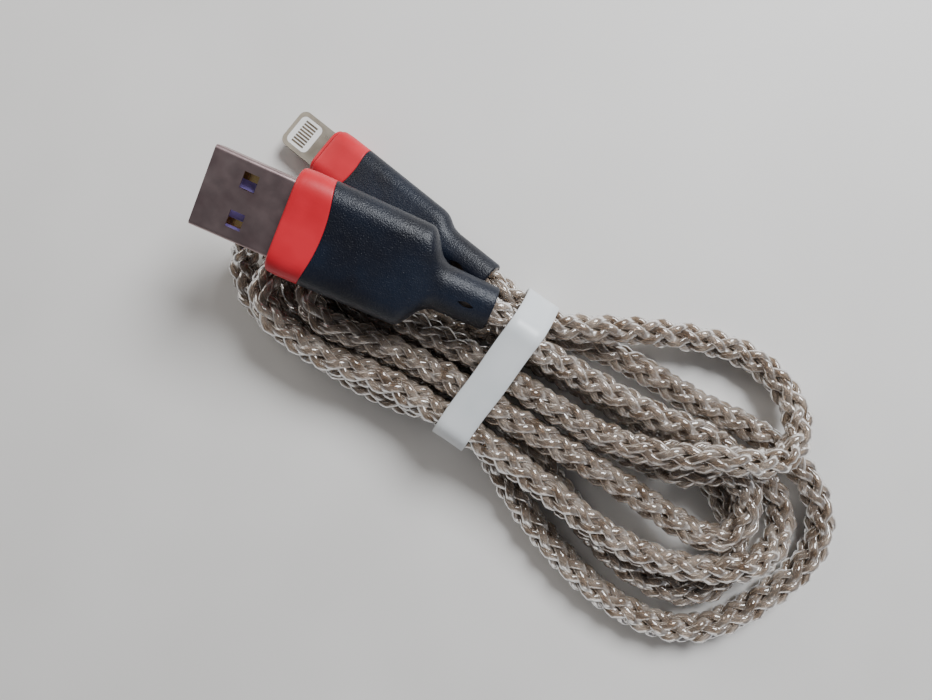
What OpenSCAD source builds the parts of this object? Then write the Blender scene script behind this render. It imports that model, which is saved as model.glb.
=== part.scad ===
// Charging cable: a full-size flat plug and a small eight-contact phone plug on a
// clear braided cord, folded into a hank and held by a flat elastic band.
// Millimetres, +Z up, +X along the hank away from the plugs. Z = 0 is the table.

/* [Cord] */
// Outer diameter of the braided cord
cord_d = 5.2; // [4.8:0.1:5.6]
// Diameter of one insulated conductor inside a plug
wire_d = 0.7; // [0.5:0.1:0.8]

/* [USB plug] */
// Width of the plug's body
usb_body_w = 16.3; // [15:0.1:17]
// Thickness of the plug's body
usb_body_t = 7.4; // [7:0.1:8]
// Length of the dark body without the neck
usb_body_len = 18.5; // [18:0.5:24]
// Length of the red collar
usb_collar_len = 5; // [4:0.5:6]
// Length of the metal shell in front of the collar
usb_shell_out = 12; // [11.5:0.1:12.5]
// Length of the neck that the cord leaves
usb_neck_len = 9.4; // [8:0.2:12]
// Width of the neck
usb_neck_w = 7; // [6.4:0.1:8]
// Thickness of the neck
usb_neck_t = 6.2; // [6:0.1:6.6]

/* [Phone plug] */
// Width of the plug's body
phone_body_w = 9.4; // [9:0.1:11]
// Thickness of the plug's body
phone_body_t = 6.2; // [5.8:0.1:6.6]
// Length of the dark body without the neck
phone_body_len = 19; // [16:0.5:20]
// Length of the red collar behind its lip
phone_collar_len = 5.5; // [4:0.5:6]
// Length of the thin lip in front of the collar
phone_lip_len = 0.6; // [0.4:0.1:1]
// Length of the steel tab in front of the lip
phone_tab_out = 7.7; // [6.8:0.1:8]
// Length of the neck that the cord leaves
phone_neck_len = 9.5; // [8:0.5:12]
// Width of the neck
phone_neck_w = 6.2; // [5.9:0.1:7]
// Thickness of the neck
phone_neck_t = 5.9; // [5.8:0.1:6.4]

/* [Band] */
// Width of the tie band along the hank
band_w = 5.6; // [4:0.2:8]
// Thickness of the band
band_t = 0.5; // [0.3:0.1:0.6]
// Clearance between the band and the cords that it holds
band_gap = 0.3; // [0.3:0.05:0.5]

/* [Hidden] */
$fn = 48;

cord_r = cord_d / 2;
eps = 0.01;
face_gap = 0.05;
// Where the band's middle is, from the part's origin
bundle = [24.15, -2.305, 0];

// Where each neck ends, from the band's middle, and how each plug lies
usb_at = [-6, 7.1, 13.5];
usb_turn = [10, 6, 11];
phone_at = [-8.8, 10.9, 8.5];
phone_turn = [0, -8.7, -5];

// Stations along the USB plug, from the end of its neck
usb_x_neck = -usb_neck_len;
usb_x_body = usb_x_neck - usb_body_len;
usb_x_collar = usb_x_body - usb_collar_len;
usb_x_tip = usb_x_collar - usb_shell_out;
usb_x_core = usb_x_neck - 4;
usb_shoulder = 2.6;

// Standard plug shell and its tongue
shell_w = 12;
shell_t = 4.5;
shell_wall = 0.3;
shell_len = 18;
shell_r = 0.6;
window_x = 6;
window_y = 2.9;
window_size = [2.2, 2.5];
tongue_w = 11;
tongue_t = 1.9;
tongue_start = 0.4;
tongue_len = 11.5;
tongue_block = 4.4;
contact_y = [-3.5, -1, 1, 3.5];
contact_w = 1.1;
contact_t = 0.3;
contact_start = 1.2;
contact_tail = 2;
board_t = 0.8;
usb_board_w = 10;
usb_core_w = 12.6;
usb_core_t = 5.2;
usb_x_tongue_end = usb_x_tip + tongue_start + tongue_len + tongue_block;
usb_x_board_end = usb_x_core - 6.8;
usb_x_shell_end = usb_x_tip + shell_len;

// Stations along the phone plug, from the end of its neck
phone_x_neck = -phone_neck_len;
phone_x_body = phone_x_neck - phone_body_len;
phone_x_collar = phone_x_body - phone_collar_len;
phone_x_lip = phone_x_collar - phone_lip_len;
phone_x_tip = phone_x_lip - phone_tab_out;
phone_x_core = phone_x_neck - 4;
phone_shoulder = 2;

// Eight-contact tab
tab_w = 6.7;
tab_t = 1.5;
tab_len = 11;
tab_r = 1.3;
plate_start = 0.7;
plate_size = [4.4, 5.2];
plate_r = 0.9;
pin_pitch = 0.55;
pin_size = [2.5, 0.34, 0.15];
pin_count = 8;
phone_board_w = 6;
phone_core_w = 7;
phone_core_t = 4.4;
phone_x_tab_end = phone_x_tip + tab_len;
phone_x_board_end = phone_x_core - 5.6;

// Crimped ferrule behind the cord's end
crimp_len = 2.8;
crimp_r = 2.1;
crimp_bore_r = 1.62;
wire_spread = [-1.5, -0.5, 0.5, 1.5];

// Cord stretches between the necks and the band
usb_lead_path = [
    usb_at, [-5.02, 7.29, 13.4], [-4, 6.9, 12.5], [-3, 6.6, 12.05], [-0.6, 6.5, 12]
];
phone_lead_path = [
    phone_at, [-6.83, 10.73, 8.8], [-5, 10.6, 8.8], [-3, 10.5, 8.6], [-0.8, 10.5, 8.6]
];

// Corner cords of the bundle where the band holds it, as [y, z]
waist_span = [-2.6, 6.2];
waist_base = cord_r + band_gap + band_t;
waist_corners = [
    [-10.5, waist_base], [10.5, waist_base], [10.5, 8.6], [6.6, 12.1], [-10.5, 8.5]
];

// Outermost centrelines of the folded cord in plan, lower and upper layer
lobe_base = [
    [-2.6, 10.5], [-6, 8.6], [-10, 5.6], [-14, 4], [-20, 3], [-32, 1], [-38.5, -1.5], [-42.5, -5.5],
    [-42.5, -9], [-39, -12], [-27, -13.9], [-12, -12.4], [-2.6, -10.5]
];
lobe_top = [
    [-2.6, 0], [-10, -2.4], [-20, -2.6], [-32, -2.6], [-38.5, -4], [-41, -7], [-38.5, -10],
    [-30, -11.4], [-15, -11], [-2.6, -10.5]
];
fan_base = [
    [6.2, -10.5], [34, -20.4], [44.5, -19.8], [51.5, -17.4], [55, -13], [60, -1], [60.9, 4],
    [59, 10.2], [54.5, 13.5], [45.5, 20], [39, 24], [31.5, 24.4], [23.5, 21.6], [6.2, 10.5]
];
fan_top = [
    [6.2, -10.5], [29, -11.8], [43.5, -9], [50.5, -4], [51, 4], [45.5, 10], [45.6, 18],
    [39, 23.4], [31.5, 23.6], [23.5, 21], [6.2, 10.5]
];
layer_z = [5.2, 10];

function unit(v) = v / norm(v);
function tangent(p, i) = unit(p[min(i + 1, len(p) - 1)] - p[max(i - 1, 0)]);
function ring(p, i, r, n) =
    let (t = tangent(p, i), s = unit(cross([0, 0, 1], t)), u = cross(t, s))
    [for (k = [0:n - 1]) p[i] + r * (cos(360 * k / n) * s + sin(360 * k / n) * u)];

// Outline of a belt of radius r round the corners p, which run anticlockwise
function normal_angle(a, b) = atan2(a[0] - b[0], b[1] - a[1]);
function belt(p, r, steps = 6) = [
    for (i = [0:len(p) - 1])
        let (
            n = len(p),
            a = normal_angle(p[(i + n - 1) % n], p[i]),
            turn = (normal_angle(p[i], p[(i + 1) % n]) - a + 720) % 360
        )
        for (k = [0:steps])
            p[i] + r * [cos(a + turn * k / steps), sin(a + turn * k / steps)]
];

// Tube of radius r through the points p, with n sides
module tube(p, r, n) {
    last = len(p) - 1;
    polyhedron(
        points = [for (i = [0:last]) each ring(p, i, r, n)],
        faces = concat(
            [[for (k = [0:n - 1]) k]],
            [for (i = [0:last - 1]) for (k = [0:n - 1])
                [i * n + k, (i + 1) * n + k, (i + 1) * n + (k + 1) % n, i * n + (k + 1) % n]],
            [[for (k = [0:n - 1]) last * n + n - 1 - k]]
        )
    );
}

// Rectangle with round corners, exact
module rounded(w, h, r) {
    square([w - 2 * r, h], center = true);
    square([w, h - 2 * r], center = true);
    for (x = [-1, 1])
        for (y = [-1, 1])
            translate([x * (w / 2 - r), y * (h / 2 - r)]) circle(r);
}

// Bar along X from x0 to x1 whose section is w wide (Y) and t thick (Z)
module bar(x0, x1, w, t, r) {
    translate([x0, 0, 0])
        rotate([90, 0, 90])
            linear_extrude(x1 - x0)
                rounded(w, t, r);
}

module box_between(low, high) {
    translate(low) cube(high - low);
}

// Round rod along X
module rod(x0, x1, r) {
    translate([x0, 0, 0])
        rotate([0, 90, 0])
            cylinder(h = x1 - x0, r = r);
}

// Conductor that lies on a board's pad, drops behind it and runs through the ferrule
module wire(pad, end) {
    edge = pad + [1.6, 0, 0];
    mouth = end - [crimp_len, 0, 0];
    tube([pad, edge, mouth, end - [face_gap, 0, 0]], wire_d / 2, 12);
}

module at_bundle() {
    translate(bundle) children();
}

module at_usb() {
    at_bundle() translate(usb_at) rotate(usb_turn) children();
}

module at_phone() {
    at_bundle() translate(phone_at) rotate(phone_turn) children();
}

// ---- USB plug ----

module usb_shell() {
    color("rosybrown") at_usb() difference() {
        bar(usb_x_tip, usb_x_shell_end, shell_w, shell_t, shell_r);
        bar(usb_x_tip - 1, usb_x_shell_end + 1, shell_w - 2 * shell_wall,
            shell_t - 2 * shell_wall, shell_r - shell_wall);
        for (y = [-window_y, window_y])
            translate([usb_x_tip + window_x, y, 0])
                cube([window_size[0], window_size[1], shell_t + 1], center = true);
    }
}

module usb_tongue() {
    x0 = usb_x_tip + tongue_start;
    x1 = x0 + tongue_len;
    color("mediumpurple") at_usb() difference() {
        union() {
            box_between([x0, -tongue_w / 2, -tongue_t], [x1 + eps, tongue_w / 2, 0]);
            box_between([x1, -tongue_w / 2, -tongue_t], [usb_x_tongue_end, tongue_w / 2, tongue_t]);
        }
        for (y = contact_y)
            box_between([usb_x_tip + contact_start, y - contact_w / 2, -contact_t],
                [usb_x_tongue_end + 1, y + contact_w / 2, eps]);
    }
}

module usb_contacts() {
    color("gold") at_usb()
        for (y = contact_y)
            box_between([usb_x_tip + contact_start, y - contact_w / 2, -contact_t],
                [usb_x_tongue_end + contact_tail, y + contact_w / 2, 0]);
}

module usb_circuit_board() {
    color("seagreen") at_usb()
        box_between([usb_x_tongue_end, -usb_board_w / 2, -contact_t - board_t],
            [usb_x_board_end, usb_board_w / 2, -contact_t]);
}

module usb_resistors() {
    color("dimgray") at_usb()
        for (y = [-1.4, 1.4])
            translate([usb_x_tongue_end + contact_tail + 2.4, y, -contact_t + 0.25])
                cube([1, 1.6, 0.5], center = true);
}

module usb_inner_mould() {
    color("ivory") at_usb() difference() {
        bar(usb_x_shell_end, usb_x_core, usb_core_w, usb_core_t, 1);
        bar(usb_x_shell_end - 1, usb_x_core - crimp_len - 0.1, usb_board_w + 0.6, 2.9, 0.3);
        rod(usb_x_core - crimp_len - 0.2, usb_x_core + 1, crimp_r + 0.02);
    }
}

module usb_crimp() {
    color("silver") at_usb() difference() {
        rod(usb_x_core - crimp_len, usb_x_core, crimp_r);
        rod(usb_x_core - crimp_len - 1, usb_x_core + 1, crimp_bore_r);
    }
}

module usb_wires() {
    color("firebrick") at_usb()
        for (k = wire_spread) {
            pad = [usb_x_board_end - 1.2, k * 2.4, -contact_t + wire_d / 2];
            wire(pad, [usb_x_core, k * wire_d * 1.05, 0]);
        }
}

module usb_collar() {
    color("tomato") at_usb() difference() {
        bar(usb_x_collar, usb_x_body, usb_body_w, usb_body_t, 3.3);
        bar(usb_x_collar - 1, usb_x_body + 1, shell_w, shell_t, shell_r);
    }
}

module usb_overmould() {
    color("midnightblue") at_usb() difference() {
        union() {
            bar(usb_x_body, usb_x_neck - usb_shoulder, usb_body_w, usb_body_t, 3.3);
            hull() {
                bar(usb_x_neck - usb_shoulder - 0.1, usb_x_neck - usb_shoulder, usb_body_w,
                    usb_body_t, 3.3, $fn = 32);
                bar(usb_x_neck - 0.1, usb_x_neck, usb_neck_w + 2.4, usb_neck_t, 2.9, $fn = 32);
            }
            bar(usb_x_neck - 0.1, 0, usb_neck_w, usb_neck_t, 3);
        }
        bar(usb_x_body - 1, usb_x_shell_end, shell_w, shell_t, shell_r);
        bar(usb_x_shell_end - eps, usb_x_core, usb_core_w, usb_core_t, 1);
        rod(usb_x_core - 1, 1, cord_r);
    }
}

module usb_cord_end() {
    color("gainsboro") at_usb() rod(usb_x_core, -face_gap, cord_r);
}

// ---- Phone plug ----

module tab_outline(length, w, r) {
    translate([r, -w / 2]) square([length - r, w]);
    translate([0, -w / 2 + r]) square([2 * r, w - 2 * r]);
    for (y = [-1, 1])
        translate([r, y * (w / 2 - r)]) circle(r);
}

module plate_outline() {
    translate([phone_x_tip + plate_start + plate_size[0] / 2, 0])
        rounded(plate_size[0], plate_size[1], plate_r);
}

module pin_places() {
    x = phone_x_tip + plate_start + plate_size[0] / 2;
    for (side = [-1, 1])
        for (k = [0:pin_count - 1])
            translate([x, (k - (pin_count - 1) / 2) * pin_pitch, side * (tab_t - pin_size[2]) / 2])
                children();
}

module phone_tab() {
    color("silver") at_phone() difference() {
        translate([phone_x_tip, 0, -tab_t / 2])
            linear_extrude(tab_t)
                tab_outline(tab_len, tab_w, tab_r);
        translate([0, 0, -tab_t]) linear_extrude(2 * tab_t) plate_outline();
    }
}

module phone_contact_plate() {
    color("white") at_phone() difference() {
        translate([0, 0, -tab_t / 2]) linear_extrude(tab_t) plate_outline();
        pin_places() cube(pin_size, center = true);
    }
}

module phone_contacts() {
    color("gold") at_phone() pin_places() cube(pin_size, center = true);
}

module phone_circuit_board() {
    color("seagreen") at_phone()
        box_between([phone_x_tab_end, -phone_board_w / 2, -board_t / 2],
            [phone_x_board_end, phone_board_w / 2, board_t / 2]);
}

module phone_chip() {
    color("black") at_phone()
        translate([phone_x_tab_end + 3, 0.6, board_t / 2 + 0.4])
            cube([2.6, 2.4, 0.8], center = true);
}

module phone_capacitors() {
    color("peru") at_phone()
        for (x = [2.4, 3.6])
            translate([phone_x_tab_end + x, -2, board_t / 2 + 0.25])
                cube([0.5, 1, 0.5], center = true);
}

module phone_inner_mould() {
    color("ivory") at_phone() difference() {
        bar(phone_x_tab_end, phone_x_core, phone_core_w, phone_core_t, 0.8);
        bar(phone_x_tab_end - 1, phone_x_core - crimp_len - 0.1, phone_board_w + 0.1, 2.9, 0.3);
        rod(phone_x_core - crimp_len - 0.2, phone_x_core + 1, crimp_r + 0.02);
    }
}

module phone_crimp() {
    color("silver") at_phone() difference() {
        rod(phone_x_core - crimp_len, phone_x_core, crimp_r);
        rod(phone_x_core - crimp_len - 1, phone_x_core + 1, crimp_bore_r);
    }
}

module phone_wires() {
    color("firebrick") at_phone()
        for (k = wire_spread) {
            pad = [phone_x_board_end - 1, k * 1.5, board_t / 2 + wire_d / 2];
            wire(pad, [phone_x_core, k * wire_d * 1.05, 0]);
        }
}

module phone_collar() {
    color("tomato") at_phone() difference() {
        union() {
            bar(phone_x_lip, phone_x_collar + eps, phone_body_w - 0.9, phone_body_t - 0.9, 2.2);
            bar(phone_x_collar, phone_x_body, phone_body_w, phone_body_t, 2.6);
        }
        bar(phone_x_lip - 1, phone_x_tab_end, tab_w, tab_t, eps);
        bar(phone_x_tab_end - eps, phone_x_body + 1, phone_core_w, phone_core_t, 0.8);
    }
}

module phone_overmould() {
    color("midnightblue") at_phone() difference() {
        union() {
            bar(phone_x_body, phone_x_neck - phone_shoulder, phone_body_w, phone_body_t, 2.6);
            hull() {
                bar(phone_x_neck - phone_shoulder - 0.1, phone_x_neck - phone_shoulder,
                    phone_body_w, phone_body_t, 2.6, $fn = 32);
                bar(phone_x_neck - 0.1, phone_x_neck, phone_neck_w + 1, phone_neck_t, 2.7, $fn = 32);
            }
            bar(phone_x_neck - 0.1, 0, phone_neck_w, phone_neck_t, 2.85);
        }
        bar(phone_x_body - 1, phone_x_core, phone_core_w, phone_core_t, 0.8);
        rod(phone_x_core - 1, 1, cord_r);
    }
}

module phone_cord_end() {
    color("gainsboro") at_phone() rod(phone_x_core, -face_gap, cord_r);
}

// ---- Cord and band ----

module usb_lead() {
    color("gainsboro") at_bundle() tube(usb_lead_path, cord_r, 8);
}

module phone_lead() {
    color("gainsboro") at_bundle() tube(phone_lead_path, cord_r, 8);
}

// Slab with round ends whose cords' outermost centrelines are p
module lobe(p, z0, z1) {
    translate([0, 0, z0])
        linear_extrude(z1 - z0)
            offset(r = cord_r, $fn = 24)
                polygon(p);
}

// Section of the bundle under the band, grown by extra and reaching from x0 to x1
module waist(extra, x0, x1) {
    translate([x0, 0, 0])
        rotate([90, 0, 90])
            linear_extrude(x1 - x0)
                polygon(belt(waist_corners, cord_r + extra));
}

module cord_hank() {
    color("lightgray") at_bundle() difference() {
        union() {
            lobe(lobe_base, 0, layer_z[0]);
            lobe(lobe_top, layer_z[0] - eps, layer_z[1]);
            lobe(fan_base, 0, layer_z[0]);
            lobe(fan_top, layer_z[0] - eps, layer_z[1]);
            waist(0, waist_span[0], waist_span[1] + cord_r);
        }
        difference() {
            translate([waist_span[0] - band_gap, -30, -1])
                cube([waist_span[1] - waist_span[0] + band_gap, 60, 30]);
            waist(0, waist_span[0] - 1, waist_span[1] + 1);
        }
    }
}

module tie_band() {
    color("whitesmoke") at_bundle() difference() {
        waist(band_gap + band_t, -band_w / 2, band_w / 2);
        waist(band_gap, -band_w / 2 - 1, band_w / 2 + 1);
    }
}

usb_shell();
usb_tongue();
usb_contacts();
usb_circuit_board();
usb_resistors();
usb_inner_mould();
usb_collar();
usb_overmould();
usb_crimp();
usb_wires();
usb_cord_end();
phone_tab();
phone_contact_plate();
phone_contacts();
phone_circuit_board();
phone_chip();
phone_capacitors();
phone_inner_mould();
phone_collar();
phone_overmould();
phone_crimp();
phone_wires();
phone_cord_end();
usb_lead();
phone_lead();
cord_hank();
tie_band();
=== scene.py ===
import math

import bmesh
import bpy
import numpy as np
from mathutils import Euler, Matrix, Vector


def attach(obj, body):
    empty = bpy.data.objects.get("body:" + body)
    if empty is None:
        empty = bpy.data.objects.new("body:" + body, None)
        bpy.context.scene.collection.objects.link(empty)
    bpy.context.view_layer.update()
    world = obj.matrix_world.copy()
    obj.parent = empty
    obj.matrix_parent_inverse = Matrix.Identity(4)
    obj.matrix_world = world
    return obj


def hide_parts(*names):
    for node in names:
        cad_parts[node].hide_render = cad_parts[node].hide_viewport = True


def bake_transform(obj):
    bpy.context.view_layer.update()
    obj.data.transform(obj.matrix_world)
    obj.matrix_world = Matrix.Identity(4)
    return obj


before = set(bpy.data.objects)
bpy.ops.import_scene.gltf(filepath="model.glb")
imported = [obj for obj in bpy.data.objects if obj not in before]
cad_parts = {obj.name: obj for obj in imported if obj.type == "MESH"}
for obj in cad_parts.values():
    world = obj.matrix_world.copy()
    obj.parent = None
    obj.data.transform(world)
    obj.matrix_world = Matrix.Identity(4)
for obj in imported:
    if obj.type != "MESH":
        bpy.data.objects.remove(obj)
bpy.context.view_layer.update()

# A clear braided charging cable in a hank, with its two plugs and the band that holds it.
# Lengths are in millimetres until a mesh is made. Cord positions are counted from the middle
# of the band, on the table, as in the CAD model; PLACE puts that point into the part's frame.

MM = 0.001
PLACE = np.array([24.15, -2.305, 0])

# ---- Driving sizes, as in the CAD model ----

CORD_D = 5.2
CORD_R = CORD_D / 2
USB_AT = np.array([-6, 7.1, 13.5])
USB_TURN = (10, 6, 11)
PHONE_AT = np.array([-8.8, 10.9, 8.5])
PHONE_TURN = (0, -8.7, -5)
USB_NECK, USB_BODY, USB_COLLAR, USB_SHELL = 9.4, 18.5, 5, 12
PHONE_NECK, PHONE_BODY, PHONE_COLLAR, PHONE_LIP, PHONE_TAB = 9.5, 19, 5.5, 0.6, 7.7
BAND_W, BAND_T, BAND_GAP = 5.6, 0.5, 0.15

# ---- Camera ----

# Where the camera stands, from the middle of the band
CAMERA_OVER = (-5.6, -0.1)
CAMERA_HEIGHT = 119
CAMERA_TURN = 34.31
CAMERA_LENS = 27.04


def add(obj):
    bpy.context.scene.collection.objects.link(obj)
    return obj


def make_camera():
    data = bpy.data.cameras.new("camera")
    data.lens = CAMERA_LENS
    data.sensor_width = 36
    data.clip_start = 0.005
    camera = add(bpy.data.objects.new("camera", data))
    camera.location = Vector((PLACE + (*CAMERA_OVER, CAMERA_HEIGHT)) * MM)
    camera.rotation_euler = (0, 0, math.radians(CAMERA_TURN))
    bpy.context.scene.camera = camera


make_camera()

# ---- The cord's route ----

# Where each pass goes under the band, as (y, z): T on top, B at the bottom
LANES = {
    "T1": (10.5, 8.6), "T3": (0, 8.6), "T4": (-5.25, 8.6), "T5": (-10.5, 8.5),
    "B1": (10.5, 3.4), "B2": (5.25, 3.4), "B3": (0, 3.4), "B4": (-5.25, 3.4), "B5": (-10.5, 3.4),
}
BAND_HALF = 2.8
HELD_PAST = 0.1

# The loops in the order that the cord takes them, from the small plug to the large one:
# the lane it leaves the band by, the lane it comes back by, and the points between. The last one
# comes back by the stretch to the large plug.
RIGHT_LOOPS = [
    ("T1", "T3", [
        (9, 14.2, 8), (16, 18.4, 6.4), (23.5, 22.2, 4.4), (31.5, 25, 3.2), (39.5, 24.8, 3.8),
        (44.6, 21.4, 6.2), (46.4, 16.4, 8.6), (43.6, 11.8, 10.4), (38.6, 8.6, 11.2), (33.4, 5.5, 10.6),
        (27, 2.8, 9.4), (20, 0.9, 8.6), (13, 0, 8.2), (7.2, 0, 8.4)]),
    ("B5", "B1", [
        (10.7, -13.8, 2.8), (18.6, -17, 2.6), (26.6, -19.4, 2.6), (35.2, -20.8, 2.6), (44.3, -20.2, 2.6),
        (50.6, -17.8, 2.6), (54.5, -14, 2.6), (56.6, -10, 2.6), (58.6, -5, 2.6), (60.3, 0, 2.6),
        (60.7, 5, 2.6), (59.4, 9.4, 2.6), (55.5, 12.8, 2.6), (49.2, 15.4, 2.6), (41.8, 15.8, 2.6),
        (32.8, 14.2, 2.6), (21, 13.8, 2.6), (13.3, 12.8, 2.6), (7, 11.3, 2.8)]),
    ("B4", "B2", [
        (9, -6.6, 2.8), (16, -9, 2.6), (25, -12, 2.6), (34, -14.4, 2.6), (41.5, -14.4, 2.6),
        (46.8, -12.8, 2.6), (50.2, -9.6, 2.6), (50.8, -5.6, 2.6), (49.6, -1.8, 2.6), (46.8, 1.4, 2.6),
        (43, 3.6, 2.6), (38, 5.2, 2.6), (31, 6.4, 2.6), (24, 6.6, 2.6), (16, 6.2, 2.6), (9, 5.6, 2.8)]),
    ("T4", "B3", [
        (10, -4.6, 8.2), (18, -4.2, 8), (27, -4, 7.8), (34, -3.8, 7.6), (39.6, -2.8, 7.6),
        (44.2, -0.4, 7.8), (46.4, 3.8, 7.6), (43.6, 7.4, 7), (38, 5.8, 5.4), (31, 2.6, 3.8),
        (24, 0.6, 2.8), (16, 0, 2.6), (9, 0, 2.8)]),
    ("T5", None, [
        (8, -10.8, 8.2), (16, -11, 7.9), (24, -11.6, 7.8), (32, -11.8, 7.8), (38.5, -10.6, 7.8),
        (44.5, -8.2, 7.8), (49.6, -4.4, 7.8), (53, 0.4, 6.4), (53.8, 5, 4), (51.2, 8.6, 3),
        (45.5, 9.8, 3), (38.5, 9.6, 4.6), (31, 8.8, 6.8), (23.5, 7.6, 7.6), (15, 7, 8.2), (8, 6.8, 9.2)]),
]
# The loops between those, on the other side of the band, in the same order
LEFT_LOOPS = [
    [(-8, -1, 7.9), (-14, -1.6, 7.6), (-21, -1.8, 7.6), (-28, -1.8, 7.6), (-34, -1, 7.6),
     (-40, -1.6, 7.2), (-44.4, -4.6, 5.4), (-44.8, -8.6, 3.6), (-40.6, -11.6, 2.8), (-34, -12.6, 2.6),
     (-26, -13, 2.6), (-17, -12.4, 2.6), (-9, -11.4, 2.8)],
    [(-7, 8.4, 2.9), (-12.5, 4.8, 2.6), (-19, 3.2, 2.6), (-26, 2.8, 2.6), (-33, 2.6, 2.6),
     (-38.6, 0.8, 2.6), (-40.6, -3.2, 2.6), (-38.4, -7, 2.6), (-33, -8.2, 2.6), (-25, -8.4, 2.6),
     (-16, -7.8, 2.6), (-8.5, -6.4, 2.8)],
    [(-8, 2.4, 2.8), (-14, 0, 2.6), (-22, -0.6, 2.7), (-29.6, -0.2, 3.6), (-33, -3, 5.4),
     (-31.5, -7, 7), (-26, -9, 7.6), (-20, -8, 7.8), (-14, -6.4, 7.8), (-8, -5.6, 8)],
    [(-8, -2.2, 2.8), (-14, -4.8, 2.6), (-20, -4.8, 2.6), (-26, -4.2, 2.6), (-32, -3.4, 3),
     (-37.4, -4.6, 4.6), (-38.6, -8.4, 6.6), (-34.4, -11, 7.8), (-28, -11.4, 7.8), (-21, -11.4, 7.8),
     (-14, -11.4, 8), (-8, -11, 8.2)],
]
# From the small plug to the band, and from the band up to the large plug
PHONE_STRETCH = [(-8.8, 10.9, 8.5), (-6.83, 10.73, 8.8), (-5, 10.6, 8.8)]
USB_STRETCH = [
    (2.8, 6.5, 10.4), (0.2, 6.7, 11.5), (-2.2, 6.9, 12.2), (-3.6, 7.1, 12.75), (-5.02, 7.29, 13.4),
    (-6, 7.1, 13.5)]

# Spacing of the route's points, distance kept between passes, and bend radius aimed for
STEP = 2.0
TOUCH = 5.0
TIGHTEST = 6.5
ROUNDS = 400
# How strongly each round evens out the bend, pulls back to the given route, and sinks, in mm
EVEN_OUT = 0.35
PULL_BACK = 0.01
SINK = 0.01
# Points closer than this along the cord aren't pushed apart, and a chord this long limits the bend
NEAR_ALONG = 9
CHORD = 10


def turned(turn):
    return Euler([math.radians(a) for a in turn]).to_matrix()


USB_AXES = np.array(turned(USB_TURN))
PHONE_AXES = np.array(turned(PHONE_TURN))


def route_table():
    points = list(PHONE_STRETCH)
    for k, (out, back, loop) in enumerate(RIGHT_LOOPS):
        points += [(x, *LANES[out]) for x in (-BAND_HALF, BAND_HALF)]
        points += loop
        if back:
            points += [(x, *LANES[back]) for x in (BAND_HALF, -BAND_HALF)]
            points += LEFT_LOOPS[k]
    return np.array(points + USB_STRETCH, float)


def lengths(path):
    return np.linalg.norm(np.diff(path, axis=0), axis=1)


def resampled(path, step):
    s = np.r_[0, np.cumsum(lengths(path))]
    stations = np.linspace(0, s[-1], int(round(s[-1] / step)) + 1)
    return np.stack([np.interp(stations, s, path[:, k]) for k in range(3)], 1)


def spline(points, step):
    """Smooth curve through all the points, as points a step apart."""
    t = np.r_[0, np.cumsum(lengths(points) ** 0.75)]
    h = np.diff(t)
    n = len(t)
    rows = np.zeros((n, n))
    right = np.zeros((n, 3))
    rows[0, 0] = rows[-1, -1] = 1
    for i in range(1, n - 1):
        rows[i, i - 1:i + 2] = h[i - 1], 2 * (h[i - 1] + h[i]), h[i]
        right[i] = 6 * ((points[i + 1] - points[i]) / h[i] - (points[i] - points[i - 1]) / h[i - 1])
    bend = np.linalg.solve(rows, right)
    s = np.linspace(0, t[-1], 20 * n)
    k = np.clip(np.searchsorted(t, s) - 1, 0, n - 2)
    a = ((t[k + 1] - s) / h[k])[:, None]
    b = 1 - a
    sixth = (h[k] ** 2 / 6)[:, None]
    curve = a * points[k] + b * points[k + 1]
    curve += ((a**3 - a) * bend[k] + (b**3 - b) * bend[k + 1]) * sixth
    return resampled(curve, step)


# What the cord lies against, counted from the end of each plug's neck, as (x0, x1, half width,
# half thickness), and the radius of the edges of the thick ones
PLUG_BLOCKS = [
    (USB_AT, USB_AXES, [(-45, -28, 6.2, 2.4), (-33.4, -9.4, 8.1, 3.7), (-9.4, -1.5, 3.5, 3.1)]),
    (PHONE_AT, PHONE_AXES, [(-42.5, -34, 3.4, 0.9), (-34.6, -9.5, 4.7, 3.1), (-9.5, -1.5, 3.1, 2.95)]),
]
EDGE = 2.4
PLUG_GAP = 0.15


def clear_of_plugs(points):
    for at, axes, blocks in PLUG_BLOCKS:
        local = (points - at) @ axes
        for x0, x1, half_w, half_t in blocks:
            edge = EDGE if half_t > EDGE else 0
            nearest = np.clip(local, (x0, edge - half_w, edge - half_t), (x1, half_w - edge, half_t - edge))
            away = local - nearest
            gap = np.linalg.norm(away, axis=1)
            need = CORD_R + PLUG_GAP + edge
            hit = (gap < need) & (gap > 1e-6)
            local[hit] += away[hit] * ((need - gap[hit]) / gap[hit] / 2)[:, None]
        points = local @ axes.T + at
    return points


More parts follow.
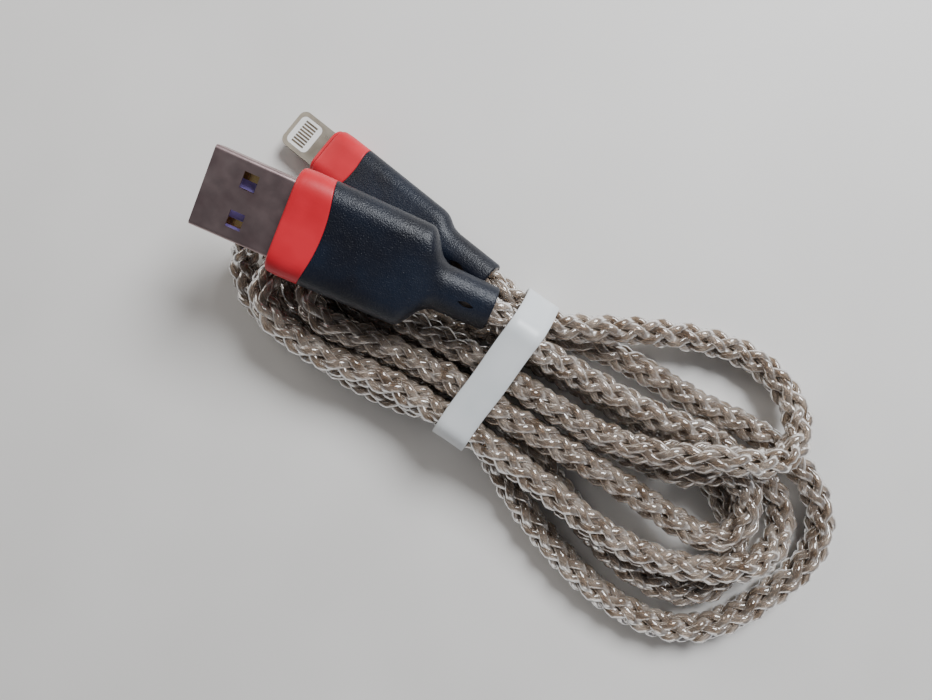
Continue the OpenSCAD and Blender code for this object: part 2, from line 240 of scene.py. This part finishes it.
def settled(path):
    """Lets the cord find its place: it keeps its length, resists bending and rests on itself, on the
    table and under the plugs, and the band and the necks hold it."""
    p = path.copy()
    seg = lengths(p).mean()
    held = np.abs(p[:, 0]) < BAND_HALF + HELD_PAST
    held[:3] = held[-4:] = True
    free = np.where(held, 0.0, 1.0)[:, None]
    first, second = np.triu_indices(len(p), math.ceil(NEAR_ALONG / seg))
    span = int(round(CHORD / seg))
    chord = 2 * TIGHTEST * math.sin(span * seg / 2 / TIGHTEST)
    for _ in range(ROUNDS):
        bow = np.zeros_like(p)
        fair = np.zeros_like(p)
        bow[1:-1] = (p[:-2] + p[2:]) / 2 - p[1:-1]
        fair[2:-2] = bow[2:-2] - (bow[1:-3] + bow[3:-1]) / 2
        p += free * (EVEN_OUT * fair + PULL_BACK * (path - p))
        p[:, 2] -= SINK * free[:, 0]
        for _ in range(2):
            d = p[1:] - p[:-1]
            size = np.linalg.norm(d, axis=1, keepdims=True)
            d *= 0.45 * (size - seg) / size
            p[:-1] += free[:-1] * d
            p[1:] -= free[1:] * d
            d = p[span:] - p[:-span]
            size = np.linalg.norm(d, axis=1, keepdims=True)
            d *= 0.3 * np.maximum(chord - size, 0) / size
            p[:-span] -= free[:-span] * d
            p[span:] += free[span:] * d
            d = p[second] - p[first]
            size = np.linalg.norm(d, axis=1)
            hit = size < TOUCH
            d = d[hit] * (0.25 * (TOUCH - size[hit]) / size[hit])[:, None]
            np.add.at(p, first[hit], -d * free[first[hit]])
            np.add.at(p, second[hit], d * free[second[hit]])
            p = np.where(held[:, None], p, clear_of_plugs(p))
            p[:, 2] = np.maximum(p[:, 2], CORD_R)
    return p


# ---- The braid ----

# Spacing of a strand's rings, length of one turn of a strand, and strands wound each way
RING_STEP = 0.8
LAY = 19
PER_WAY = 4
# Distance from the cord's middle to a strand's, and how far that goes over and under
STRAND_R = 1.52
WEAVE = 0.5
# How uneven the braid is: how far its lay drifts, in radians, and each strand's distance out, in mm
DRIFT = 0.22
WANDER = 0.04
# The cord goes on this far into each neck
INSIDE = 1.5
# Half width and half thickness of a strand
STRAND_HALF = (0.78, 0.55)
STRAND_SIDES = 8
# Radius and sides of a dark core tube down the braid's middle, whose colour is painted shade for the
# braid's inside
CORE_R = 1
CORE_SIDES = 6


def unit(v):
    return v / np.linalg.norm(v, axis=-1, keepdims=True)


def frames(path):
    """Tangents, and two directions across the path that turn with it and don't twist."""
    along = unit(np.gradient(path, axis=0))
    across = np.zeros_like(path)
    across[0] = unit(np.cross(along[0], (0, 0, 1)))
    for i in range(1, len(path)):
        v = across[i - 1] - along[i] * np.dot(across[i - 1], along[i])
        across[i] = v / np.linalg.norm(v)
    return along, across, np.cross(along, across)


def strand_lines(path):
    """Centreline and outward direction of each strand: half of them wind each way, over and under."""
    along, across, up = frames(path)
    s = np.r_[0, np.cumsum(lengths(path))]
    ways = [
        2 * math.pi * s / LAY + DRIFT * np.sin(s / 23),
        2 * math.pi * s / LAY + DRIFT * np.sin(s / 31 + 1),
    ]
    over = np.cos(PER_WAY / 2 * (ways[0] + ways[1]))
    lines = []
    for way, sign in ((0, 1), (1, -1)):
        for k in range(PER_WAY):
            angle = sign * ways[way] + 2 * math.pi * k / PER_WAY
            out = np.cos(angle)[:, None] * across + np.sin(angle)[:, None] * up
            wander = WANDER * np.sin(s / (7 + k) + 2 * k + way)
            radius = STRAND_R + sign * WEAVE * over + wander
            lines.append((path + radius[:, None] * out, out))
    return lines


def new_object(name, points, faces):
    mesh = bpy.data.meshes.new(name)
    mesh.from_pydata([Vector(p * MM) for p in points], [], faces)
    mesh.update()
    return add(bpy.data.objects.new(name, mesh))


def ring_faces(rings, sides, start, wrap=False):
    """Quads of a tube of rings, numbered from start, closed by its two ends or into a ring."""
    faces = []
    for i in range(rings if wrap else rings - 1):
        a = start + i * sides
        b = start + (i + 1) % rings * sides
        faces += [(a + k, a + (k + 1) % sides, b + (k + 1) % sides, b + k) for k in range(sides)]
    if not wrap:
        last = start + (rings - 1) * sides
        faces.append(tuple(range(start + sides - 1, start - 1, -1)))
        faces.append(tuple(range(last, last + sides)))
    return faces


def braid(name, lines, first, last):
    """The stretch of the braid between two stations, each strand a closed tube of its own."""
    points = []
    faces = []
    turns = np.linspace(0, 2 * math.pi, STRAND_SIDES, endpoint=False)
    wide, thick = STRAND_HALF
    for line, out in lines:
        p = line[first:last]
        along = unit(np.gradient(p, axis=0))
        side = unit(np.cross(along, out[first:last]))
        top = np.cross(side, along)
        rings = p[:, None] + wide * np.cos(turns)[None, :, None] * side[:, None]
        rings = rings + thick * np.sin(turns)[None, :, None] * top[:, None]
        faces += ring_faces(len(p), STRAND_SIDES, len(points))
        points += list(rings.reshape(-1, 3) + PLACE)
    strand_faces = len(faces)
    # A dark core tube down the middle of the strands, coloured as painted shade for the braid's inside
    middle = sum(line for line, out in lines)[first:last] / len(lines)
    turns = np.linspace(0, 2 * math.pi, CORE_SIDES, endpoint=False)
    along, side, top = frames(middle)
    rings = middle[:, None] + CORE_R * np.cos(turns)[None, :, None] * side[:, None]
    rings = rings + CORE_R * np.sin(turns)[None, :, None] * top[:, None]
    faces += ring_faces(len(middle), CORE_SIDES, len(points))
    points += list(rings.reshape(-1, 3) + PLACE)
    obj = new_object(name, points, faces)
    obj.data.polygons.foreach_set("use_smooth", [len(f) == 4 for f in faces])
    obj.data.polygons.foreach_set("material_index", [int(k >= strand_faces) for k in range(len(faces))])
    return obj


def make_cord():
    route = spline(settled(spline(route_table(), STEP)), RING_STEP)
    route = np.vstack([
        resampled(np.array([route[0] - INSIDE * PHONE_AXES[:, 0], route[0]]), RING_STEP)[:-1],
        route,
        resampled(np.array([route[-1], route[-1] - INSIDE * USB_AXES[:, 0]]), RING_STEP)[1:],
    ])
    lines = strand_lines(route)
    beyond = np.where(route[:, 0] > 0)[0]
    seams = beyond[0], beyond[-1]
    phone = braid("phone_cord", lines, 0, seams[0] + 1)
    hank = braid("hank_cord", lines, seams[0], seams[1] + 1)
    usb = braid("usb_cord", lines, seams[1], len(route))
    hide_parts("phone_lead")
    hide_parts("usb_lead")
    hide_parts("cord_hank")
    for lead, body, at in ((phone, "phone_plug", PHONE_AT), (usb, "usb_plug", USB_AT)):
        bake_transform(lead)
    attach(hank, "hank")
    return [phone, hank, usb]


CORD = make_cord()

# ---- Moulded shapes ----

# Steps round a corner, along a long side and along a short side of a section
ARC, LONG, SHORT = 8, 14, 3
SECTION_STEP = 0.25
# Length over which changes of section are made soft, steps round an end, smallest corner radius
SOFTEN = 1.4
END_STEPS = 4
SHARP = 0.05


def outline(w, t, r):
    """Rectangle with round corners, as points anticlockwise from the right side."""
    points = []
    corners = [(1, 1, LONG), (-1, 1, SHORT), (-1, -1, LONG), (1, -1, SHORT)]
    for k, (side, top, between) in enumerate(corners):
        centre = np.array([side * (w / 2 - r), top * (t / 2 - r)])
        for i in range(ARC + 1):
            a = math.pi / 2 * (k + i / ARC)
            points.append(centre + r * np.array([math.cos(a), math.sin(a)]))
        next_side, next_top, _ = corners[(k + 1) % 4]
        a = math.pi / 2 * (k + 1)
        centre = np.array([next_side * (w / 2 - r), next_top * (t / 2 - r)])
        end = centre + r * np.array([math.cos(a), math.sin(a)])
        start = points[-1]
        points += [start + (end - start) * i / between for i in range(1, between)]
    return np.array(points)


def blended(keys):
    """Sections (x, w, t, r) a step apart through the key ones, with soft changes between them."""
    keys = np.array(keys, float)
    x = np.linspace(keys[0, 0], keys[-1, 0], int((keys[-1, 0] - keys[0, 0]) / SECTION_STEP) + 1)
    reach = int(SOFTEN / SECTION_STEP / 2)
    window = np.hanning(2 * reach + 3)[1:-1]
    rows = [x]
    for k in (1, 2, 3):
        fine = np.interp(x, keys[:, 0], keys[:, k])
        padded = np.pad(fine, reach, mode="edge")
        rows.append(np.convolve(padded, window / window.sum(), mode="valid"))
    return [tuple(row) for row in np.array(rows).T]


def rounded_end(row, way, radius):
    """Sections that round off the end at row; way is -1 for the front end and 1 for the back."""
    x, w, t, r = row
    rows = []
    for i in range(END_STEPS + 1):
        a = math.pi / 2 * i / END_STEPS
        inset = radius * (1 - math.cos(a))
        at = x - way * radius * (1 - math.sin(a))
        rows.append((at, w - 2 * inset, t - 2 * inset, max(r - inset, SHARP)))
    return rows


def both_ends(rows, front, back):
    """The rows with their front end rounded by one radius and their back end by another."""
    inner = [row for row in rows if rows[0][0] + front < row[0] < rows[-1][0] - back]
    return rounded_end(rows[0], -1, front)[::-1] + inner + rounded_end(rows[-1], 1, back)


def hollow_loft(name, rows, warp):
    """Skin over sections (x, w, t, r), outside and then inside, whose last section joins the first."""
    points = []
    for x, w, t, r in rows:
        section = outline(w, t, r)
        points += [np.array([x + warp(x, y), y, z]) for y, z in section]
    return new_object(name, points, ring_faces(len(rows), len(section), 0, wrap=True))


def dressed_edges(obj, sharp=40):
    """Smooth shading, with true edges kept crisp."""
    mesh = bmesh.new()
    mesh.from_mesh(obj.data)
    bmesh.ops.remove_doubles(mesh, verts=mesh.verts, dist=1e-7)
    bmesh.ops.recalc_face_normals(mesh, faces=mesh.faces)
    for face in mesh.faces:
        face.smooth = True
    for edge in mesh.edges:
        edge.smooth = len(edge.link_faces) != 2 or edge.calc_face_angle() < math.radians(sharp)
    mesh.to_mesh(obj.data)
    mesh.free()


def cut(obj, cutter):
    change = obj.modifiers.new("cut", "BOOLEAN")
    change.object = cutter
    change.solver = "EXACT"
    bpy.context.view_layer.update()
    result = bpy.data.meshes.new_from_object(obj.evaluated_get(bpy.context.evaluated_depsgraph_get()))
    obj.modifiers.clear()
    obj.data = result
    bpy.data.objects.remove(cutter)


def lens_cutter(x, y, z, size, depth):
    """Upright prism with a pointed oval outline, length and width given by size."""
    length, width = size
    steps = 10
    sweep = [math.sin(math.pi * i / steps) for i in range(steps + 1)]
    upper = [(length * (i / steps - 0.5), width / 2 * sweep[i]) for i in range(steps + 1)]
    lower = [(-u, -v) for u, v in upper[1:-1]]
    ring = upper + lower
    points = [np.array([x + u, y + v, z + h]) for h in (-depth, 2) for u, v in ring]
    cutter = new_object("cutter", points, ring_faces(2, len(ring), 0))
    dressed_edges(cutter)
    return cutter


def set_on_plug(obj, at, turn, body, material, nodes):
    """Moves a piece made about its neck's end to where its plug lies, and gives it all it needs."""
    obj.data.transform(Matrix.Translation(Vector((PLACE + at) * MM)) @ turned(turn).to_4x4())
    dressed_edges(obj)
    obj.data.materials.clear()
    obj.data.materials.append(material)
    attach(obj, body)
    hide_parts(*nodes)


def bowed(seam, half_w, depth, reach=4.5):
    """Warp that bows the seam between collar and body towards the neck, most in the middle."""
    def warp(x, y):
        near = max(0, 1 - abs(x - seam) / reach)
        return depth * near * near * (3 - 2 * near) * max(0, 1 - (y / half_w) ** 2)
    return warp


# ---- Materials ----


def shader(name, colour, roughness, **sockets):
    material = bpy.data.materials.new(name)
    material.use_nodes = True
    surface = material.node_tree.nodes["Principled BSDF"]
    surface.inputs["Base Color"].default_value = (*colour, 1)
    surface.inputs["Roughness"].default_value = roughness
    for key, value in sockets.items():
        surface.inputs[key.replace("_", " ")].default_value = value
    return material


def noise(material, scale, detail=2):
    tree = material.node_tree
    place = tree.nodes.new("ShaderNodeTexCoord")
    pattern = tree.nodes.new("ShaderNodeTexNoise")
    pattern.inputs["Scale"].default_value = scale
    pattern.inputs["Detail"].default_value = detail
    tree.links.new(place.outputs["Object"], pattern.inputs["Vector"])
    return pattern


def mottle(material, dark, light, scale, low=0.35, high=0.65, detail=2):
    """Base colour that wanders between two shades."""
    tree = material.node_tree
    ramp = tree.nodes.new("ShaderNodeValToRGB")
    ramp.color_ramp.elements[0].position = low
    ramp.color_ramp.elements[0].color = (*dark, 1)
    ramp.color_ramp.elements[1].position = high
    ramp.color_ramp.elements[1].color = (*light, 1)
    tree.links.new(noise(material, scale, detail).outputs[0], ramp.inputs[0])
    tree.links.new(ramp.outputs[0], tree.nodes["Principled BSDF"].inputs["Base Color"])


def wear(material, low, high, scale):
    """Roughness that varies over the surface."""
    tree = material.node_tree
    spread = tree.nodes.new("ShaderNodeMapRange")
    spread.inputs["To Min"].default_value = low
    spread.inputs["To Max"].default_value = high
    tree.links.new(noise(material, scale, 4).outputs[0], spread.inputs["Value"])
    tree.links.new(spread.outputs[0], tree.nodes["Principled BSDF"].inputs["Roughness"])


def grain(material, scale, strength, depth, detail=3):
    """Fine relief, as moulds and drawing leave it; depth in millimetres."""
    tree = material.node_tree
    bump = tree.nodes.new("ShaderNodeBump")
    bump.inputs["Strength"].default_value = strength
    bump.inputs["Distance"].default_value = depth * MM
    tree.links.new(noise(material, scale, detail).outputs[0], bump.inputs["Height"])
    tree.links.new(bump.outputs[0], tree.nodes["Principled BSDF"].inputs["Normal"])


def overmould_material():
    material = shader("overmould_grain", (0.004, 0.006, 0.014), 0.4, Specular_IOR_Level=0.38)
    mottle(material, (0.003, 0.004, 0.009), (0.005, 0.009, 0.02), 140)
    wear(material, 0.32, 0.44, 900)
    grain(material, 4400, 0.85, 0.11, 2)
    return material


def collar_material():
    material = shader("collar_red", (0.58, 0.016, 0.028), 0.42, Specular_IOR_Level=0.4)
    mottle(material, (0.52, 0.012, 0.022), (0.63, 0.02, 0.034), 160)
    wear(material, 0.36, 0.5, 600)
    grain(material, 3000, 0.25, 0.04)
    return material


def shell_material():
    # The warm purple-brown of this nickel shell, mottle included, is a painted reflection of a brown wooden
    # table
    material = shader("shell_nickel_painted_reflection", (0.42, 0.31, 0.31), 0.36, Metallic=1)
    mottle(material, (0.35, 0.25, 0.25), (0.48, 0.37, 0.36), 260, 0.3, 0.7, 5)
    wear(material, 0.28, 0.46, 500)
    grain(material, 4000, 0.12, 0.02)
    return material


def steel_material():
    material = shader("tab_steel", (0.36, 0.33, 0.29), 0.3, Metallic=1)
    mottle(material, (0.3, 0.27, 0.23), (0.42, 0.39, 0.34), 300)
    wear(material, 0.22, 0.38, 700)
    return material


def cord_material():
    # The brown of the clear strands is partly the copper inside and partly painted colour of a brown wooden
    # table seen through them, dark and light in patches
    material = shader(
        "clear_braid_painted_table_tint", (0.7, 0.62, 0.56), 0.1, IOR=1.46, Transmission_Weight=0.72, Coat_Weight=0.8,
        Coat_Roughness=0.04)
    mottle(material, (0.25, 0.17, 0.11), (0.65, 0.55, 0.46), 420, 0.34, 0.66, 3)
    wear(material, 0.05, 0.16, 700)
    return material


def band_material():
    material = shader(
        "frosted_band", (0.8, 0.82, 0.83), 0.38, Subsurface_Weight=0.35, Transmission_Weight=0.15)
    material.node_tree.nodes["Principled BSDF"].inputs["Subsurface Radius"].default_value = (
        0.002, 0.002, 0.002)
    mottle(material, (0.76, 0.79, 0.8), (0.84, 0.86, 0.87), 120)
    wear(material, 0.3, 0.46, 400)
    return material


def plain_material(name, dark, light, roughness, scale=300, **sockets):
    material = shader(name, light, roughness, **sockets)
    mottle(material, dark, light, scale)
    wear(material, roughness * 0.85, min(1, roughness * 1.15), scale * 2)
    return material


OVERMOULD = overmould_material()
COLLAR = collar_material()
SHELL = shell_material()
STEEL = steel_material()
BRAID = cord_material()
BAND = band_material()
TONGUE = plain_material("tongue_violet", (0.3, 0.22, 0.62), (0.4, 0.32, 0.78), 0.35)
GOLD = plain_material("contact_gold", (0.72, 0.5, 0.2), (0.85, 0.63, 0.28), 0.25, Metallic=1)
PINS = plain_material("pin_plating", (0.12, 0.1, 0.08), (0.2, 0.17, 0.13), 0.4, Metallic=1)
PLATE = plain_material("plate_white", (0.74, 0.74, 0.72), (0.84, 0.84, 0.82), 0.35)
BOARD = plain_material("board_green", (0.01, 0.12, 0.05), (0.02, 0.2, 0.09), 0.4)
CHIP = plain_material("component_black", (0.01, 0.01, 0.01), (0.03, 0.03, 0.03), 0.5)
CERAMIC = plain_material("component_tan", (0.4, 0.27, 0.14), (0.5, 0.35, 0.2), 0.5)
MOULD = plain_material("inner_mould_ivory", (0.62, 0.58, 0.48), (0.72, 0.68, 0.58), 0.55)
FERRULE = plain_material("ferrule_steel", (0.5, 0.5, 0.5), (0.62, 0.62, 0.62), 0.35, Metallic=1)
# Dark brown of the braid's core and of the cord ends in the necks' slots: painted shade
CORE_SHADE = plain_material("braid_core_painted_shade", (0.04, 0.027, 0.02), (0.15, 0.1, 0.07), 0.35, 500)
WIRE = plain_material("wire_red", (0.4, 0.02, 0.02), (0.55, 0.04, 0.03), 0.35)

for piece in CORD:
    piece.data.materials.append(BRAID)
    piece.data.materials.append(CORE_SHADE)

# ---- Sections that the plugs' pieces share, as (w, t, r) ----

BORE = (5.3, 5.3, 2.6)
USB_MOULD = (12.6, 5.2, 1)
SHELL_SECTION = (12, 4.5, 0.6)
PHONE_MOULD = (7, 4.4, 0.8)
TAB_SECTION = (6.7, 1.5, 0.05)
SHELL_LEN = 18
TAB_LEN = 11
CORE_PAST_NECK = 4
# Radius of the edges where collar and overmould meet, and of a neck's end
SEAM = 0.14
NECK_EDGE = 0.3

# ---- Large plug ----

USB_X_NECK = -USB_NECK
USB_X_BODY = USB_X_NECK - USB_BODY
USB_X_COLLAR = USB_X_BODY - USB_COLLAR
USB_X_SHELL_END = USB_X_COLLAR - USB_SHELL + SHELL_LEN
USB_X_CORE = USB_X_NECK - CORE_PAST_NECK
USB_W, USB_T, USB_CORNER = 16.3, 7.4, 3.3
# How far the seam bows towards the neck
USB_BOW = 1.3


def usb_overmould():
    skin = blended([
        (USB_X_BODY, USB_W, USB_T, USB_CORNER), (USB_X_NECK - 3.2, USB_W - 0.3, USB_T - 0.05, USB_CORNER),
        (USB_X_NECK - 2.5, USB_W - 1, USB_T - 0.15, USB_CORNER), (USB_X_NECK - 0.3, 8.7, 6.4, 3),
        (USB_X_NECK + 1, 7.2, 6.2, 3), (0, 6.9, 6.15, 3)])
    hollow = [
        (0, *BORE), (USB_X_CORE, *BORE), (USB_X_CORE, *USB_MOULD), (USB_X_SHELL_END, *USB_MOULD),
        (USB_X_SHELL_END, *SHELL_SECTION), (USB_X_BODY, *SHELL_SECTION)]
    obj = hollow_loft("usb_overmould_skin", both_ends(skin, SEAM, NECK_EDGE) + hollow,
                      bowed(USB_X_BODY, USB_W / 2, USB_BOW))
    dressed_edges(obj)
    cut(obj, lens_cutter(-4, -0.6, 3.1, (2.6, 0.8), 1.1))
    set_on_plug(obj, USB_AT, USB_TURN, "usb_plug", OVERMOULD, ["usb_overmould"])


def usb_collar():
    skin = blended([(USB_X_COLLAR, USB_W - 0.3, USB_T - 0.15, 3.2), (USB_X_COLLAR + 2, USB_W, USB_T, 3.3),
                    (USB_X_BODY, USB_W, USB_T, USB_CORNER)])
    hollow = [(USB_X_BODY, *SHELL_SECTION), (USB_X_COLLAR, *SHELL_SECTION)]
    obj = hollow_loft("usb_collar_skin", both_ends(skin, 0.55, SEAM) + hollow,
                      bowed(USB_X_BODY, USB_W / 2, USB_BOW))
    set_on_plug(obj, USB_AT, USB_TURN, "usb_plug", COLLAR, ["usb_collar"])


usb_overmould()
usb_collar()

# ---- Small plug ----

PHONE_X_NECK = -PHONE_NECK
PHONE_X_BODY = PHONE_X_NECK - PHONE_BODY
PHONE_X_COLLAR = PHONE_X_BODY - PHONE_COLLAR
PHONE_X_LIP = PHONE_X_COLLAR - PHONE_LIP
PHONE_X_TAB_END = PHONE_X_LIP - PHONE_TAB + TAB_LEN
PHONE_X_CORE = PHONE_X_NECK - CORE_PAST_NECK
PHONE_W, PHONE_T, PHONE_CORNER = 9.4, 6.2, 2.6
PHONE_BOW = 0.8
# The stepped lip in front of the collar, and the groove behind it
LIP = (8.5, 5.3, 2.2)
GROOVE = (8.1, 4.9, 2)


def phone_overmould():
    skin = blended([
        (PHONE_X_BODY, PHONE_W, PHONE_T, PHONE_CORNER),
        (PHONE_X_NECK - 3, PHONE_W - 0.3, PHONE_T - 0.05, PHONE_CORNER),
        (PHONE_X_NECK - 2, PHONE_W - 0.7, PHONE_T - 0.1, PHONE_CORNER), (PHONE_X_NECK - 0.2, 6.6, 5.9, 2.7),
        (PHONE_X_NECK + 1.1, 6.1, 5.9, 2.8), (0, 6, 5.85, 2.8)])
    hollow = [
        (0, *BORE), (PHONE_X_CORE, *BORE), (PHONE_X_CORE, *PHONE_MOULD), (PHONE_X_BODY, *PHONE_MOULD)]
    obj = hollow_loft("phone_overmould_skin", both_ends(skin, SEAM, NECK_EDGE) + hollow,
                      bowed(PHONE_X_BODY, PHONE_W / 2, PHONE_BOW))
    dressed_edges(obj)
    cut(obj, lens_cutter(-4.9, -1.5, 2.9, (3, 1), 1.2))
    set_on_plug(
        obj, PHONE_AT, PHONE_TURN, "phone_plug", OVERMOULD, ["phone_overmould"])


def phone_collar():
    skin = rounded_end((PHONE_X_LIP, *LIP), -1, 0.2)[::-1]
    skin += [(PHONE_X_COLLAR - 0.12, *LIP), (PHONE_X_COLLAR - 0.1, *GROOVE), (PHONE_X_COLLAR, *GROOVE)]
    body = blended([(PHONE_X_COLLAR, 9.2, 6.05, 2.5), (PHONE_X_COLLAR + 2, PHONE_W, PHONE_T, 2.6),
                    (PHONE_X_BODY, PHONE_W, PHONE_T, PHONE_CORNER)])
    skin += both_ends(body, 0.4, SEAM)
    hollow = [
        (PHONE_X_BODY, *PHONE_MOULD), (PHONE_X_TAB_END, *PHONE_MOULD), (PHONE_X_TAB_END, *TAB_SECTION),
        (PHONE_X_LIP, *TAB_SECTION)]
    obj = hollow_loft("phone_collar_skin", skin + hollow, bowed(PHONE_X_BODY, PHONE_W / 2, PHONE_BOW))
    set_on_plug(obj, PHONE_AT, PHONE_TURN, "phone_plug", COLLAR, ["phone_collar"])


phone_overmould()
phone_collar()

# ---- Band ----

# Cords at the corners of the bundle under the band, as (y, z)
WAIST = [(-10.5, 3.4), (10.5, 3.4), (10.5, 8.6), (6.7, 12.1), (-10.5, 8.5)]


def belt(radius, step=0.5):
    """Line round the corner cords at that radius, as points (y, z) a step apart, and outward directions."""
    points = []
    out = []
    n = len(WAIST)
    corners = [np.array(c) for c in WAIST]
    for i in range(n):
        before, here, after = corners[i - 1], corners[i], corners[(i + 1) % n]
        a0 = math.atan2(-(here - before)[0], (here - before)[1])
        a1 = math.atan2(-(after - here)[0], (after - here)[1])
        turn = (a1 - a0) % (2 * math.pi)
        steps = max(2, int(turn * radius / step))
        for k in range(steps + 1):
            a = a0 + turn * k / steps
            out.append(np.array([math.cos(a), math.sin(a)]))
            points.append(here + radius * out[-1])
        side = np.linalg.norm(after - here)
        steps = int(side / step)
        for k in range(1, steps):
            out.append(out[-1])
            points.append(here + (after - here) * k / steps + radius * out[-1])
    return points, out


def make_band():
    """Flat strip whose edges roll in a little and wander a little along the hank."""
    inner = CORD_R + BAND_GAP
    across = [(-1, 0.12), (-0.97, 0), (-0.5, 0.03), (0, 0.05), (0.5, 0.03), (0.97, 0), (1, 0.12)]
    profile = [(u * BAND_W / 2, lift) for u, lift in across]
    profile += [(u * BAND_W / 2, BAND_T - 0.06 - lift) for u, lift in reversed(across)]
    points = []
    line, out = belt(inner)
    length = np.r_[0, np.cumsum([np.linalg.norm(b - a) for a, b in zip(line, line[1:])])]
    for (y, z), (ny, nz), s in zip(line, out, length):
        sway = 0.16 * math.sin(s / 5.5) + 0.07 * math.sin(s / 2.1 + 1)
        for x, lift in profile:
            points.append(np.array([x + sway, y + lift * ny, z + lift * nz]) + PLACE)
    obj = new_object("tie_band_strip", points, ring_faces(len(line), len(profile), 0, True))
    dressed_edges(obj, 60)
    obj.data.materials.append(BAND)
    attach(obj, "band")
    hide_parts("tie_band")


make_band()

# ---- CAD pieces that show as they are ----


def dress(node, material, bevel=0):
    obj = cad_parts[node]
    obj.data.materials.clear()
    obj.data.materials.append(material)
    if bevel:
        edge = obj.modifiers.new("edge", "BEVEL")
        edge.width = bevel * MM
        edge.segments = 2
        edge.limit_method = "ANGLE"
        edge.angle_limit = math.radians(50)


dress("usb_shell", SHELL, 0.1)
dress("usb_tongue", TONGUE, 0.08)
dress("usb_contacts", GOLD, 0.04)
dress("phone_tab", STEEL, 0.16)
dress("phone_contact_plate", PLATE, 0.03)
dress("phone_contacts", PINS)
dress("phone_chip", CHIP)
dress("phone_capacitors", CERAMIC)
dress("usb_resistors", CHIP)
for plug in ("usb", "phone"):
    dress(plug + "_circuit_board", BOARD)
    dress(plug + "_inner_mould", MOULD)
    dress(plug + "_crimp", FERRULE)
    dress(plug + "_wires", WIRE)
    # The cord ends, seen through the necks' slots, take the core's painted shade
    dress(plug + "_cord_end", CORE_SHADE)

# ---- Table, light ----


def make_table():
    """A pale floor, just under the cord so that the two don't flicker."""
    size = 2
    corners = [(-1, -1), (1, -1), (1, 1), (-1, 1)]
    floor = new_object(
        "table_top", [np.array([x, y, 0]) * size / MM for x, y in corners], [(0, 1, 2, 3)])
    floor.location = (0.03, 0, -0.00005)
    pale = plain_material("table_pale", (0.7, 0.68, 0.65), (0.74, 0.72, 0.69), 0.6, 30)
    floor.data.materials.append(pale)


def area_light(name, at, size, power, colour):
    data = bpy.data.lights.new(name, "AREA")
    data.size = size
    data.energy = power
    data.color = colour
    light = add(bpy.data.objects.new(name, data))
    light.location = at
    aim = Vector((0.03, 0, 0)) - light.location
    light.rotation_mode = "QUATERNION"
    light.rotation_quaternion = aim.to_track_quat("-Z", "Y")


def make_light():
    area_light("key", (0.05, 0.34, 0.34), 0.2, 3.8, (0.93, 0.96, 1))
    area_light("fill", (-0.42, 0.1, 0.26), 0.26, 0.8, (1, 0.95, 0.88))
    area_light("low", (0.25, -0.3, 0.2), 0.3, 0.35, (1, 0.97, 0.94))
    world = bpy.data.worlds.new("room")
    world.use_nodes = True
    world.node_tree.nodes["Background"].inputs["Color"].default_value = (0.9, 0.92, 1, 1)
    world.node_tree.nodes["Background"].inputs["Strength"].default_value = 0.13
    bpy.context.scene.world = world


make_table()
make_light()
